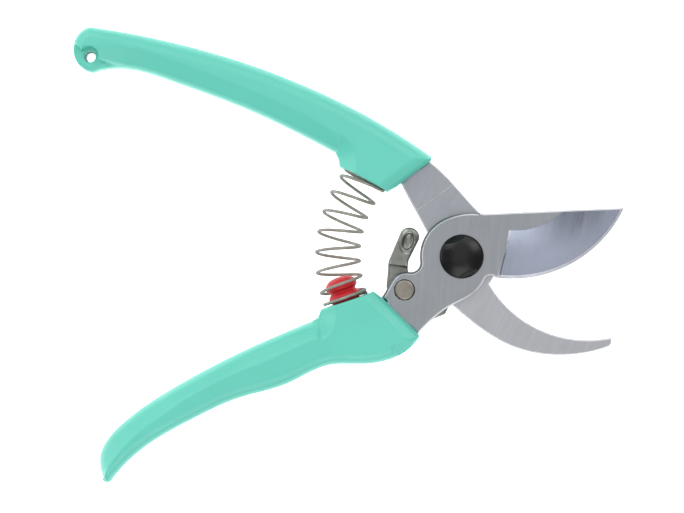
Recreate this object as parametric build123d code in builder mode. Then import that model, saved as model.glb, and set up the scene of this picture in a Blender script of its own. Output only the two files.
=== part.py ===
"""Floral snips: two steel arms with moulded handles, crossed on a pivot bolt, with a coil spring
and a thumb latch.

Frame: +X towards the blade tips, +Y towards the upper handle, +Z towards the front face.
The origin is on the pivot axis, in the plane of the flat rear end of the pivot, on which the
snips lie. Millimetres. The arms are modelled open, as the spring holds them."""

import math
import os

from build123d import *

# ---- thicknesses and heights ------------------------------------------------------------------
HANDLE_T = 16.0  # moulded handles, full thickness
MID = HANDLE_T / 2  # mid-plane of the handles and of the spring
HOOK_Z = 5.0  # rear face of the hook blade
HOOK_T = 2.95
BLADE_Z = 8.0  # rear face of the cutting blade
BLADE_T = 3.0
BLADE_TOP = BLADE_Z + BLADE_T
NECK_RISE = 0.4  # the hook blade's neck is this much thicker beyond its step line

# ---- pivot ------------------------------------------------------------------------------------
BOLT_R = 3.0
BUSH_R = 4.0
HEAD_R = 6.8
HEAD_EDGE = 0.9  # height of the head's rim
HEAD_RISE = 2.6
HEAD_FLAT = 4.9  # half distance between the head's two spanner flats
HEAD_TURN = 22.7  # direction of the flats, degrees
RUNNING = 0.04  # radial clearance of a running fit
SEATED = 0.01  # radial clearance of a pressed or screwed fit
NUT_AF = 11.0  # across flats
NUT_H = 3.3
HUB_R = 12.8

# ---- thumb latch ------------------------------------------------------------------------------
LATCH = (-17.6, -10.3)  # its rivet
LATCH_T = 1.8
LATCH_Z = 6.15
LATCH_BORE = 1.8
TAB_Z = 9.0  # rear face of the thumb tab, which stands forward of the arm
JOG_AT = (-19.5, -2.6)  # middle of the upper edge of the bend between arm and tab
JOG_TURN = 7.0  # the bend slants by this, degrees
JOG_RUN = 0.6  # it climbs over this distance
RIVET_R = 1.7
RIVET_FACE_R = 3.1  # flush head in the cutting blade's front face
RIVET_FACE_T = 1.2
RIVET_BACK_R = 3.4
RIVET_RISE = 1.5
RIVET_FOOT = LATCH_Z - 0.65  # rear face of the latch washer, on which the rivet's head is formed

# ---- spring -----------------------------------------------------------------------------------
WIRE_R = 0.48
COIL_R = 6.7  # mean radius of the coils
ARC_R = 38.15  # the spring's axis is an arc about the pivot
TURNS = 9
# direction of a coil's middle from the pivot after this many turns: the ends are wound close
WINDING = ((0, 140.7), (1.15, 142.4), (TURNS - 1, 198.9), (TURNS, 200.4))
# the end coils lie on the seats, so many degrees off the radial direction
LEAN = ((0, 11.4), (1, 9.9), (2.5, 0), (6.5, 0), (TURNS - 1, -0.5), (TURNS, -2.0))
STEPS = 10  # points for each turn

# ---- handles ----------------------------------------------------------------------------------
FACET_DROP = 3.5  # the inner facets fall this far towards the grip's inner edge
BEVEL = (3.4, 2.4)  # front bevel: width on the face, depth
HANG_HOLE = (-114.6, 61.6)
HANG_R = 1.75
HANG_STEEL_R = 1.5
LUG_R = 3.1  # round recess about the hanging hole
LUG_DEPTH = 4.5
SEAT_DEPTH = 1.05
SEAT_R = 7.45
UPPER_SEAT = ((-37.7, 27.9), (-22.8, 20.0))
LOWER_SEAT = ((-43.4, -16.4), (-29.0, -11.6))
UPPER_FRONT = ((-20.0, 21.6), (-9.3, 29.7))
LOWER_FRONT = ((-24.2, -13.0), (-13.4, -23.8))

# ---- spring cushion ---------------------------------------------------------------------------
CUSHION_R = 4.95
CUSHION_GROOVE_R = 4.2
CUSHION_H = 7.8
CUSHION_STEM_R = 2.5
CUSHION_STEM = 4.0


def polar(radius, degrees):
    """A point at this distance and direction from the pivot."""
    turn = math.radians(degrees)
    return (radius * math.cos(turn), radius * math.sin(turn))


def dome_radius(radius, rise):
    """Radius of the sphere that a dome of this radius and rise is part of."""
    return (radius**2 + rise**2) / (2 * rise)


def seat_plane(seat, at_radius, inward):
    """Plane on a spring seat, centred where the spring's axis crosses it, Z out of the handle."""
    (x0, y0), (x1, y1) = seat
    length = math.hypot(x1 - x0, y1 - y0)
    ux, uy = (x1 - x0) / length, (y1 - y0) / length
    along = -(x0 * ux + y0 * uy)
    offset = math.sqrt(at_radius**2 - (x0 * x0 + y0 * y0 - along**2))
    s = along - offset
    normal = (uy * inward, -ux * inward, 0)
    return Plane(origin=(x0 + ux * s, y0 + uy * s, MID), x_dir=(ux, uy, 0), z_dir=normal)


def edge_plane(edge):
    """Plane square to an edge of a handle's outline, at its middle: X outward, Y towards +Z."""
    (x0, y0), (x1, y1) = edge
    length = math.hypot(x1 - x0, y1 - y0)
    along = ((x1 - x0) / length, (y1 - y0) / length, 0)
    outward = (along[1], -along[0], 0)
    middle = ((x0 + x1) / 2, (y0 + y1) / 2, 0)
    return Plane(origin=middle, x_dir=outward, z_dir=(outward[1], -outward[0], 0))


# ---- cutting blade: front plate with its tang in the lower handle ------------------------------
GRIND_CENTRE = (16.0, 31.4)
GRIND_R = 38.3  # cutting edge
GRIND_WIDTH = 15.0
GRIND_FROM = 264.2  # shoulder of the grind, direction from the centre of the edge's arc
GRIND_TURN = 80.0
EDGE_T = 0.12
EDGE_BEVEL = 1.1

with BuildPart() as cutting_blade:
    with BuildSketch(Plane.XY.offset(BLADE_Z)):
        with BuildLine():
            spine = Line((50.6, 15.1), (7.1, 13.2))
            crown = ThreePointArc(spine @ 1, (-1.2, 13.1), polar(HUB_R, 118))
            hub = ThreePointArc(crown @ 1, polar(HUB_R, 150), polar(HUB_R, 187))
            waist = ThreePointArc(hub @ 1, (-13.5, -4.0), (-16.2, -4.8))
            lug = Spline(waist @ 1, (-20.6, -6.2), (-22.9, -9.9), (-24.6, -12.6))
            Polyline(lug @ 1, (-23.2, -14.0), (-30.0, -19.0), (-42.0, -25.5))
            tang_inner = Spline((-42.0, -25.5), (-66.0, -34.0), (-101.0, -54.0))
            tang_end = ThreePointArc(tang_inner @ 1, (-103.0, -58.4), (-98.5, -57.2))
            tang_outer = Spline(tang_end @ 1, (-66.0, -39.0), (-42.0, -30.5))
            Polyline(tang_outer @ 1, (-26.0, -28.5), (-15.6, -21.6), (-13.4, -23.8))
            lower = Spline((-13.4, -23.8), (-8.3, -18.8), (-4.9, -16.2), (1.8, -12.6), (7.0, -7.2))
            heel = ThreePointArc(lower @ 1, (8.6, -5.9), (10.7, -6.6))
            ThreePointArc(heel @ 1, (33.0, -2.9), spine @ 0)
        make_face()
    extrude(amount=BLADE_T)
    grind_plane = Plane(
        origin=(*GRIND_CENTRE, 0),
        x_dir=(*polar(1, GRIND_FROM), 0),
        z_dir=(*polar(1, GRIND_FROM - 90), 0),
    )
    with BuildSketch(grind_plane):
        with BuildLine():
            land = Polyline(
                (GRIND_R - GRIND_WIDTH, BLADE_TOP),
                (GRIND_R - GRIND_WIDTH, BLADE_TOP + 2),
                (GRIND_R + 4, BLADE_TOP + 2),
                (GRIND_R + 4, BLADE_Z + EDGE_T),
                (GRIND_R, BLADE_Z + EDGE_T),
                (GRIND_R - EDGE_BEVEL, BLADE_Z + 0.75),
            )
            ThreePointArc(land @ 1, (GRIND_R - 8.0, BLADE_Z + 1.75), land @ 0)
        make_face()
    revolve(axis=Axis((*GRIND_CENTRE, 0), (0, 0, 1)), revolution_arc=GRIND_TURN, mode=Mode.SUBTRACT)
    with BuildSketch(Plane.XY.offset(BLADE_Z)):
        Circle(BUSH_R + SEATED)
        with Locations(LATCH):
            Circle(RIVET_R + SEATED)
    extrude(amount=BLADE_T, mode=Mode.SUBTRACT)
    with BuildSketch(Plane.XY.offset(BLADE_TOP - RIVET_FACE_T)):
        with Locations(LATCH):
            Circle(RIVET_FACE_R + 0.12)
    extrude(amount=RIVET_FACE_T, mode=Mode.SUBTRACT)
cutting_blade.part.label = "cutting_blade"

# ---- hook blade: rear plate with its tang in the upper handle ----------------------------------
with BuildPart() as hook_blade:
    with BuildSketch(Plane.XY.offset(HOOK_Z)):
        with BuildLine():
            neck_left = Spline((-18.5, 22.7), (-14.9, 15.7), (-12.1, 10.7), polar(11.9, 146))
            hub_left = ThreePointArc(neck_left @ 1, polar(11.9, 160), polar(11.9, 174))
            relief = ThreePointArc(polar(9.6, 178), polar(9.6, 195), polar(9.6, 212))
            lump = Polyline(relief @ 1, polar(11.7, 212), polar(11.7, 218), polar(9.6, 218))
            slot = ThreePointArc(lump @ 1, polar(9.6, 238), polar(9.6, 257))
            Line(hub_left @ 1, relief @ 0)
            outer = Line((-2.6, -15.0), slot @ 1)
            back = Spline((-2.6, -15.0), (5.3, -21.7), (16.4, -28.1), (31.3, -30.6), (45.2, -28.2))
            tip = ThreePointArc(back @ 1, (46.7, -26.9), (46.6, -25.2))
            inner = ThreePointArc(tip @ 1, (24.5, -22.7), (8.8, -8.6))
            hub_right = ThreePointArc(inner @ 1, polar(12.0, 15), (6.2, 13.2))
            neck_right = Spline((6.2, 13.2), (-0.3, 20.3), (-6.2, 26.5), (-9.7, 29.4))
            Polyline(neck_right @ 1, (-12.5, 27.3), (-30.0, 38.5))
            tang_outer = Spline((-30.0, 38.5), (-60.0, 53.0), (-90.0, 62.6), (-112.6, 66.0))
            tang_end = ThreePointArc(tang_outer @ 1, (-118.6, 62.8), (-113.2, 58.8))
            tang_inner = Spline(tang_end @ 1, (-90.0, 57.6), (-60.0, 46.4), (-32.0, 31.5))
            Polyline(tang_inner @ 1, (-17.0, 23.9), neck_left @ 0)
        make_face()
    extrude(amount=HOOK_T)
    with BuildSketch(Plane.XY.offset(HOOK_Z + HOOK_T)):
        with BuildLine():
            step = Line((-13.9, 14.2), (-2.4, 22.4))
            Spline(step @ 1, (-6.2, 26.5), (-9.7, 29.4))
            Polyline((-9.7, 29.4), (-18.5, 22.7))
            Spline((-18.5, 22.7), (-16.3, 18.3), step @ 0)
        make_face()
    extrude(amount=NECK_RISE)
    with BuildSketch(Plane.XY.offset(HOOK_Z)):
        Circle(BUSH_R + RUNNING)
        with Locations(HANG_HOLE):
            Circle(HANG_STEEL_R)
    extrude(amount=HOOK_T, mode=Mode.SUBTRACT)
hook_blade.part.label = "hook_blade"


# ---- moulded handles ---------------------------------------------------------------------------
def between(inner, crease, share):
    """Points of a grip's facet: on its inner edge at share 0, on its crease at share 1."""
    return [(a + (c - a) * share, b + (d - b) * share) for (a, b), (c, d) in zip(inner, crease)]


def facet_outline(inner, crease, away, share):
    """Outline of all that the facet cuts away at this height."""
    points = between(inner, crease, share)
    far = [(x + away[0], y + away[1]) for x, y in (points[-1], points[0])]
    with BuildLine(mode=Mode.PRIVATE) as outline:
        edge = Spline(points)
        Polyline(edge @ 1, *far, edge @ 0)
    return outline.edges()


def facet_z(share):
    """Height of the facet on a handle's upper half."""
    return HANDLE_T - FACET_DROP * (1 - share)


def wedge_outline():
    """Cross-section of what the front bevel cuts away: X outward from the front edge, Y up."""
    slope = BEVEL[1] / BEVEL[0]
    with BuildLine(mode=Mode.PRIVATE) as outline:
        Polyline(
            (-BEVEL[0], HANDLE_T),
            (3, HANDLE_T - slope * (BEVEL[0] + 3)),
            (3, HANDLE_T + 3),
            (-BEVEL[0], HANDLE_T + 3),
            close=True,
        )
    return outline.edges()


UPPER_INNER = [(-115.5, 57.5), (-89.6, 54.4), (-67.3, 46.1), (-50.0, 37.9), (-38.9, 32.2)]
UPPER_CREASE = [(-113.5, 64.4), (-86.9, 59.3), (-64.6, 50.9), (-46.9, 42.8), (-35.0, 35.3)]
UPPER_SCALLOP = (-42.1, 28.9)
UPPER_SCALLOP_R = (4.4, 9.8)  # at the foot and at the face
LOWER_INNER = [(-113.0, -66.5), (-104.4, -51.3), (-89.6, -41.0), (-67.3, -29.3), (-46.2, -20.1)]
LOWER_CREASE = [(-109.3, -68.5), (-99.2, -54.0), (-84.0, -43.2), (-64.1, -33.4), (-41.3, -23.9)]
LOWER_SCALLOP = (-47.3, -17.9)
LOWER_SCALLOP_R = (4.0, 8.8)
TAIL_FROM = (-88.0, -47.5)  # the lower handle thins from here to its tail
TAIL_DIR = (-0.76, -0.65)
TAIL_LENGTH = 34.0
TAIL_DROP = 3.6
UPPER_ROUND = 5.0
LOWER_ROUND = 3.0

upper_seat = seat_plane(UPPER_SEAT, ARC_R, 1)
lower_seat = seat_plane(LOWER_SEAT, ARC_R, -1)

with BuildPart() as upper_handle:
    with BuildSketch(Plane.XY.offset(MID)):
        with BuildLine():
            outer = Spline((-9.5, 30.9), (-30.1, 43.8), (-59.8, 57.2), (-89.6, 66.1), (-114.6, 70.6))
            lug_end = ThreePointArc(outer @ 1, (-119.5, 65.0), (-118.4, 59.6))
            lug_foot = ThreePointArc(lug_end @ 1, (-116.6, 57.8), (-114.0, 57.0))
            grip = Spline(lug_foot @ 1, (-105.5, 58.4), (-89.6, 54.4), (-67.3, 46.1), (-38.9, 32.2))
            Polyline(grip @ 1, (-37.9, 30.0), *UPPER_SEAT, *UPPER_FRONT, outer @ 0)
        make_face()
    extrude(amount=MID)
    rims = upper_handle.faces().sort_by(Axis.Z)[-1].edges()
    fillet(rims.sort_by(SortBy.LENGTH)[-1], UPPER_ROUND)
    for share in (-0.4, 1.3):
        with BuildSketch(Plane.XY.offset(facet_z(share))):
            make_face(facet_outline(UPPER_INNER, UPPER_CREASE, (-7, -20), share))
    loft(ruled=True, mode=Mode.SUBTRACT)
    with Locations((*UPPER_SCALLOP, facet_z(0))):
        Cone(*UPPER_SCALLOP_R, FACET_DROP, align=(Align.CENTER, Align.CENTER, Align.MIN), mode=Mode.SUBTRACT)
    with BuildSketch(edge_plane(UPPER_FRONT)):
        make_face(wedge_outline())
    extrude(amount=30, both=True, mode=Mode.SUBTRACT)
    with BuildSketch(Plane.XY.offset(HANDLE_T - LUG_DEPTH)):
        with Locations(HANG_HOLE):
            Circle(LUG_R)
        with BuildLine():
            Polyline((-117, 63.6), (-122, 67.5), (-122, 55), (-100.5, 55), (-102, 57.6), (-111.6, 60.3), close=True)
        make_face()
    extrude(amount=LUG_DEPTH, mode=Mode.SUBTRACT)
    mirror(about=Plane.XY.offset(MID))
    add(hook_blade.part, mode=Mode.SUBTRACT)
    with BuildSketch():
        with Locations(HANG_HOLE):
            Circle(HANG_R)
    extrude(amount=HANDLE_T, mode=Mode.SUBTRACT)
    with BuildSketch(upper_seat):
        Circle(SEAT_R)
    extrude(amount=-SEAT_DEPTH, mode=Mode.SUBTRACT)
upper_handle.part.label = "upper_handle"

with BuildPart() as lower_handle:
    with BuildSketch(Plane.XY.offset(MID)):
        with BuildLine():
            outer = Spline(
                (-13.1, -24.8), (-20.5, -31.0), (-30.0, -33.0), (-41.0, -33.4), (-54.0, -39.2),
                (-68.0, -43.3), (-82.0, -49.5), (-96.0, -57.5), (-107.8, -68.6),
            )
            tail = ThreePointArc(outer @ 1, (-109.4, -69.8), (-110.9, -68.0))
            grip = Spline(tail @ 1, (-111.6, -61.0), (-104.4, -51.3), (-89.6, -41.0), (-67.3, -29.2), (-46.2, -20.1))
            Polyline(grip @ 1, (-44.3, -18.9), *LOWER_SEAT, (-27.2, -10.8), *LOWER_FRONT, outer @ 0)
        make_face()
    extrude(amount=MID)
    rims = lower_handle.faces().sort_by(Axis.Z)[-1].edges()
    fillet(rims.sort_by(SortBy.LENGTH)[-1], LOWER_ROUND)
    for share in (-0.4, 1.3):
        with BuildSketch(Plane.XY.offset(facet_z(share))):
            make_face(facet_outline(LOWER_INNER, LOWER_CREASE, (-14, 20), share))
    loft(ruled=True, mode=Mode.SUBTRACT)
    with Locations((*LOWER_SCALLOP, facet_z(0))):
        Cone(*LOWER_SCALLOP_R, FACET_DROP, align=(Align.CENTER, Align.CENTER, Align.MIN), mode=Mode.SUBTRACT)
    with BuildSketch(edge_plane(LOWER_FRONT)):
        make_face(wedge_outline())
    extrude(amount=30, both=True, mode=Mode.SUBTRACT)
    with BuildSketch(Plane(origin=(*TAIL_FROM, HANDLE_T), x_dir=(*TAIL_DIR, 0), z_dir=(TAIL_DIR[1], -TAIL_DIR[0], 0))):
        with BuildLine():
            taper = RadiusArc((0, 0), (TAIL_LENGTH, -TAIL_DROP), dome_radius(TAIL_LENGTH, TAIL_DROP))
            Polyline(taper @ 1, (TAIL_LENGTH, 1), (0, 1), taper @ 0)
        make_face()
    extrude(amount=30, both=True, mode=Mode.SUBTRACT)
    mirror(about=Plane.XY.offset(MID))
    add(cutting_blade.part, mode=Mode.SUBTRACT)
    with BuildSketch(lower_seat):
        Circle(CUSHION_STEM_R + SEATED)
    extrude(amount=-CUSHION_STEM, mode=Mode.SUBTRACT)
lower_handle.part.label = "lower_handle"

# ---- spring cushion: two-ridged rubber stop, plugged into the lower seat -----------------------
with BuildPart() as spring_cushion:
    with BuildSketch(Plane(origin=lower_seat.origin, x_dir=(0, 0, 1), z_dir=-lower_seat.x_dir)):
        with BuildLine():
            stem = Polyline((0, -CUSHION_STEM), (CUSHION_STEM_R, -CUSHION_STEM), (CUSHION_STEM_R, 0), (4.1, 0))
            ridge = ThreePointArc(stem @ 1, (CUSHION_R, 1.4), (CUSHION_GROOVE_R, 2.9))
            neck = ThreePointArc(ridge @ 1, (4.05, 3.3), (CUSHION_GROOVE_R, 3.7))
            bulge = ThreePointArc(neck @ 1, (CUSHION_R, 5.1), (3.9, 6.9))
            dome = RadiusArc(bulge @ 1, (0, CUSHION_H), -dome_radius(3.9, CUSHION_H - 6.9))
            Line(dome @ 1, stem @ 0)
        make_face()
    revolve(axis=Axis(lower_seat.origin, lower_seat.z_dir))
spring_cushion.part.label = "spring_cushion"

# ---- pivot bolt, bush, washers and nut ---------------------------------------------------------
with BuildPart() as pivot_bolt:
    with BuildSketch(Plane.XZ):
        with BuildLine():
            shank = Polyline((0, 0), (BOLT_R - 0.4, 0), (BOLT_R, 0.4), (BOLT_R, BLADE_TOP), (HEAD_R, BLADE_TOP))
            rim = Line(shank @ 1, (HEAD_R, BLADE_TOP + HEAD_EDGE))
            dome = RadiusArc(rim @ 1, (0, BLADE_TOP + HEAD_RISE), -dome_radius(HEAD_R, HEAD_RISE - HEAD_EDGE))
            Line(dome @ 1, shank @ 0)
        make_face()
    revolve(axis=Axis.Z)
    for side in (90, 270):
        flat = Plane(
            origin=(0, 0, BLADE_TOP),
            x_dir=(*polar(1, HEAD_TURN + side), 0),
            z_dir=(*polar(1, HEAD_TURN + side - 90), 0),
        )
        with BuildSketch(flat):
            with BuildLine():
                Polyline((HEAD_FLAT, 4), (HEAD_FLAT, 1.75), (HEAD_R + 0.5, 0.3), (HEAD_R + 0.5, 4), close=True)
            make_face()
        extrude(amount=HEAD_R, both=True, mode=Mode.SUBTRACT)
pivot_bolt.part.label = "pivot_bolt"

with BuildPart() as pivot_bush:
    with BuildSketch(Plane.XY.offset(HOOK_Z)):
        Circle(BUSH_R)
        Circle(BOLT_R + SEATED, mode=Mode.SUBTRACT)
    extrude(amount=BLADE_TOP - HOOK_Z)
pivot_bush.part.label = "pivot_bush"

WASHER_T = 0.8
with BuildPart() as thrust_washer:
    with BuildSketch(Plane.XY.offset(NUT_H + WASHER_T)):
        Circle(7.2)
        Circle(BOLT_R + SEATED, mode=Mode.SUBTRACT)
    extrude(amount=HOOK_Z - 0.05 - NUT_H - WASHER_T)
thrust_washer.part.label = "thrust_washer"

with BuildPart() as lock_washer:
    with BuildSketch(Plane.XY.offset(NUT_H)):
        Circle(6.4)
        Circle(BOLT_R + SEATED, mode=Mode.SUBTRACT)
        with PolarLocations(6.4, 14):
            RectangleRounded(1.6, 0.9, 0.3, mode=Mode.SUBTRACT)
    extrude(amount=WASHER_T)
lock_washer.part.label = "lock_washer"

with BuildPart() as pivot_nut:
    with BuildSketch():
        RegularPolygon(NUT_AF / 2, 6, major_radius=False)
        Circle(BOLT_R + SEATED, mode=Mode.SUBTRACT)
    extrude(amount=NUT_H)
    with BuildSketch(Plane.XZ):
        with BuildLine():
            Polyline((NUT_AF / 2, 0), (NUT_AF / 2 + 1.4, 0.8), (NUT_AF / 2 + 1.4, -1), (NUT_AF / 2, -1), close=True)
        make_face()
    revolve(axis=Axis.Z, mode=Mode.SUBTRACT)
pivot_nut.part.label = "pivot_nut"

# ---- thumb latch, its washer and rivet ---------------------------------------------------------
JOG_RISE = TAB_Z - LATCH_Z
JOG_SLOPE = JOG_RISE / JOG_RUN
JOG_SHIFT = LATCH_T / math.sin(math.atan(JOG_SLOPE)) - LATCH_T / JOG_SLOPE
JOG_ACROSS = polar(1, 90 - JOG_TURN)

with BuildPart() as latch_lever:
    with BuildSketch(Plane.XY.offset(LATCH_Z)):
        with BuildLine():
            Polyline((-23.1, -9.1), (-22.8, -6.0), (-22.6, -2.2), (-22.3, -0.9), (-19.0, 6.9))
            tab = ThreePointArc((-19.0, 6.9), (-16.1, 9.0), (-13.1, 5.2))
            Polyline(tab @ 1, (-16.3, -1.2), (-16.5, -2.6), (-16.4, -4.6), (-14.4, -7.8))
            arm = Spline((-14.4, -7.8), (-10.6, -10.8), (-5.6, -13.2))
            Polyline(arm @ 1, (-3.7, -15.5), (-4.9, -17.9), (-9.4, -19.7), (-13.4, -17.4))
            heel = Spline((-13.4, -17.4), (-16.4, -15.0), (-20.6, -13.4), (-23.1, -9.1))
        make_face()
    extrude(amount=TAB_Z + LATCH_T - LATCH_Z)
    with BuildSketch(Plane(origin=(*JOG_AT, 0), x_dir=(*JOG_ACROSS, 0), z_dir=(JOG_ACROSS[1], -JOG_ACROSS[0], 0))):
        with BuildLine():
            Polyline(
                (-30, LATCH_Z),
                (JOG_SHIFT - JOG_RUN, LATCH_Z),
                (JOG_SHIFT, TAB_Z),
                (20, TAB_Z),
                (20, TAB_Z + LATCH_T),
                (0, TAB_Z + LATCH_T),
                (-JOG_RUN, LATCH_Z + LATCH_T),
                (-30, LATCH_Z + LATCH_T),
                close=True,
            )
        make_face()
    extrude(amount=40, both=True, mode=Mode.INTERSECT)
    with BuildSketch(Plane.XY.offset(LATCH_Z)):
        with Locations(LATCH):
            Circle(LATCH_BORE)
    extrude(amount=LATCH_T, mode=Mode.SUBTRACT)
    with BuildSketch(Plane.XY.offset(TAB_Z + LATCH_T - 0.6)):
        with Locations(Location((-16.5, 4.6, 0), (0, 0, -17))):
            Ellipse(1.75, 2.75)
    extrude(amount=1, mode=Mode.SUBTRACT)
latch_lever.part.label = "latch_lever"

with BuildPart() as latch_washer:
    with BuildSketch(Plane.XY.offset(RIVET_FOOT)):
        with Locations(LATCH):
            Circle(3.6)
            Circle(RIVET_R + SEATED, mode=Mode.SUBTRACT)
    extrude(amount=0.6)
latch_washer.part.label = "latch_washer"

with BuildPart() as latch_rivet:
    with BuildSketch(Plane(origin=(*LATCH, 0), x_dir=(1, 0, 0), z_dir=(0, -1, 0))):
        with BuildLine():
            shank = Polyline(
                (0, RIVET_FOOT - RIVET_RISE),
                (0, BLADE_TOP),
                (RIVET_FACE_R, BLADE_TOP),
                (RIVET_FACE_R, BLADE_TOP - RIVET_FACE_T),
                (RIVET_R, BLADE_TOP - RIVET_FACE_T),
                (RIVET_R, RIVET_FOOT),
                (RIVET_BACK_R, RIVET_FOOT),
            )
            RadiusArc(shank @ 1, shank @ 0, dome_radius(RIVET_BACK_R, RIVET_RISE))
        make_face()
    revolve(axis=Axis((*LATCH, 0), (0, 0, 1)))
latch_rivet.part.label = "latch_rivet"


# ---- return spring -----------------------------------------------------------------------------
def at_turn(table, turn):
    """The value at this turn, on straight lines between the table's turns."""
    for (start, low), (stop, high) in zip(table, table[1:]):
        if turn <= stop:
            return low + (high - low) * (turn - start) / (stop - start)
    return table[-1][1]


def coil_point(turn):
    """A point on the spring's wire, this many turns from its upper end: right-handed, on an arc."""
    direction = at_turn(WINDING, turn)
    around = math.pi - 2 * math.pi * turn
    cx, cy = polar(ARC_R, direction)
    ex, ey = polar(COIL_R, direction + at_turn(LEAN, turn))
    return (cx + ex * math.cos(around), cy + ey * math.cos(around), MID + COIL_R * math.sin(around))


with BuildPart() as return_spring:
    with BuildLine() as wire:
        points = [coil_point(i / STEPS) for i in range(TURNS * STEPS + 1)]
        corner = 0.45 * math.dist(points[0], points[1]) / math.tan(math.pi / STEPS)
        FilletPolyline(*points, radius=corner)
    with BuildSketch(Plane(origin=wire.line @ 0, z_dir=wire.line % 0)):
        Circle(WIRE_R)
    sweep()
return_spring.part.label = "return_spring"

# ---- the finished pieces -----------------------------------------------------------------------
PIECES = (
    cutting_blade, hook_blade, upper_handle, lower_handle, spring_cushion, pivot_bolt, pivot_bush,
    thrust_washer, lock_washer, pivot_nut, latch_lever, latch_washer, latch_rivet, return_spring,
)
os.makedirs("parts", exist_ok=True)
for piece in PIECES:
    export_step(piece.part, f"parts/{piece.part.label}.step")
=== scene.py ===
"""Floral snips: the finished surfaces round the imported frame. Shapes are worked out in millimetres
in the frame's own axes and written to the meshes in metres."""
import math

import bmesh
import bpy
import numpy as np
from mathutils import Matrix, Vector
from mathutils.geometry import delaunay_2d_cdt


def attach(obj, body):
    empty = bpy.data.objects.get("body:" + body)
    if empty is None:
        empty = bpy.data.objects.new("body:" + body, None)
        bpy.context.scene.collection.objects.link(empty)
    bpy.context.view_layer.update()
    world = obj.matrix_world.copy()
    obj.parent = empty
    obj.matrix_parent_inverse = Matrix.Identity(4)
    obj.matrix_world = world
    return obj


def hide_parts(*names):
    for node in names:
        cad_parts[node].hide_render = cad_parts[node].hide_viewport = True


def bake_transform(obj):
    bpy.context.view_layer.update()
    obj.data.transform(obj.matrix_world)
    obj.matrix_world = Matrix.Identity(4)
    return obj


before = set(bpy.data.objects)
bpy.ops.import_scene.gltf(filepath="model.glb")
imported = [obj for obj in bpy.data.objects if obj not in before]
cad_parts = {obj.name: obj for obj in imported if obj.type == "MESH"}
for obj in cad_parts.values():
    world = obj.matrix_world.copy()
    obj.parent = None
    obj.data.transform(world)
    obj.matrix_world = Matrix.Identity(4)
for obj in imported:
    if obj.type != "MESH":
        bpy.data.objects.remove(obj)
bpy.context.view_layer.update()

MM = 0.001
MID = 8.0  # mid-plane of the handles and the spring
HALF_T = 8.0  # half thickness of the handles
HOOK_REAR, HOOK_FRONT = 5.0, 7.95
STEP_RISE = 0.4  # the hook blade's neck is this much thicker beyond its step line
BLADE_REAR, BLADE_FRONT = 8.0, 11.0
SMOOTH_BELOW = 34.0  # degrees: edges that turn by less than this are shaded smooth

# ---- outlines and distances -------------------------------------------------------------------


def closed_loops(edges):
    """Loops of points (N, 2), in mm, that these mesh edges form; the one of largest area first."""
    ahead = {}
    for edge in edges:
        first, second = edge.verts
        ahead.setdefault(first, []).append(second)
        ahead.setdefault(second, []).append(first)
    loops = []
    while ahead:
        vert = next(iter(ahead))
        loop = []
        while vert is not None:
            loop.append((vert.co.x / MM, vert.co.y / MM))
            vert = next((v for v in ahead.pop(vert) if v in ahead), None)
        if len(loop) > 2:
            loops.append(np.array(loop))
    loops.sort(key=lambda loop: -abs(area(loop)))
    turned = [loop if area(loop) > 0 else loop[::-1] for loop in loops]
    return turned[:1] + [loop[::-1] for loop in turned[1:]]


def area(loop):
    """Signed area of a closed loop, positive when it runs anticlockwise."""
    x, y = loop[:, 0], loop[:, 1]
    return 0.5 * float(np.sum(x * np.roll(y, -1) - np.roll(x, -1) * y))


def section(node, height):
    """Outline and holes of a CAD node at this height, in mm."""
    mesh = bmesh.new()
    mesh.from_mesh(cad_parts[node].data)
    bmesh.ops.remove_doubles(mesh, verts=mesh.verts, dist=1e-6)
    everything = mesh.verts[:] + mesh.edges[:] + mesh.faces[:]
    cut = bmesh.ops.bisect_plane(mesh, geom=everything, plane_co=(0, 0, height * MM), plane_no=(0, 0, 1))
    edges = [item for item in cut["geom_cut"] if isinstance(item, bmesh.types.BMEdge)]
    loops = closed_loops(edges)
    mesh.free()
    return loops


def plan(node):
    """Outline of a CAD node seen from the front, in mm: the rim of its faces that look forward."""
    mesh = bmesh.new()
    mesh.from_mesh(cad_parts[node].data)
    bmesh.ops.remove_doubles(mesh, verts=mesh.verts, dist=1e-6)
    away = [face for face in mesh.faces if face.normal.z < 0.2]
    bmesh.ops.delete(mesh, geom=away, context="FACES")
    loops = closed_loops([edge for edge in mesh.edges if len(edge.link_faces) == 1])
    mesh.free()
    return loops


def circle(centre, radius, count=96):
    """An anticlockwise circle, in mm."""
    turns = np.linspace(0, 2 * math.pi, count, endpoint=False)
    return np.stack([centre[0] + radius * np.cos(turns), centre[1] + radius * np.sin(turns)], 1)


def resample(loop, step, sharp=22.0):
    """The closed loop with points about this far apart, its corners kept."""
    ahead = np.roll(loop, -1, 0) - loop
    keep = np.hypot(ahead[:, 0], ahead[:, 1]) > 1e-4
    loop = loop[keep]
    ahead = np.roll(loop, -1, 0) - loop
    turn = np.arctan2(ahead[:, 1], ahead[:, 0])
    bend = np.degrees((turn - np.roll(turn, 1) + math.pi) % (2 * math.pi) - math.pi)
    corners = [i for i in range(len(loop)) if abs(bend[i]) > sharp] or [0]
    points = []
    for start, stop in zip(corners, corners[1:] + [corners[0] + len(loop)]):
        if stop == start:
            stop = start + len(loop)
        run = loop[np.arange(start, stop + 1) % len(loop)]
        points.append(spaced(run, step)[:-1])
    return np.concatenate(points)


def spaced(run, step):
    """The open run with evenly spaced points."""
    lengths = np.hypot(*np.diff(run, axis=0).T)
    far = np.concatenate([[0], np.cumsum(lengths)])
    count = max(1, round(far[-1] / step))
    at = np.linspace(0, far[-1], count + 1)
    return np.stack([np.interp(at, far, run[:, 0]), np.interp(at, far, run[:, 1])], 1)


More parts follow.
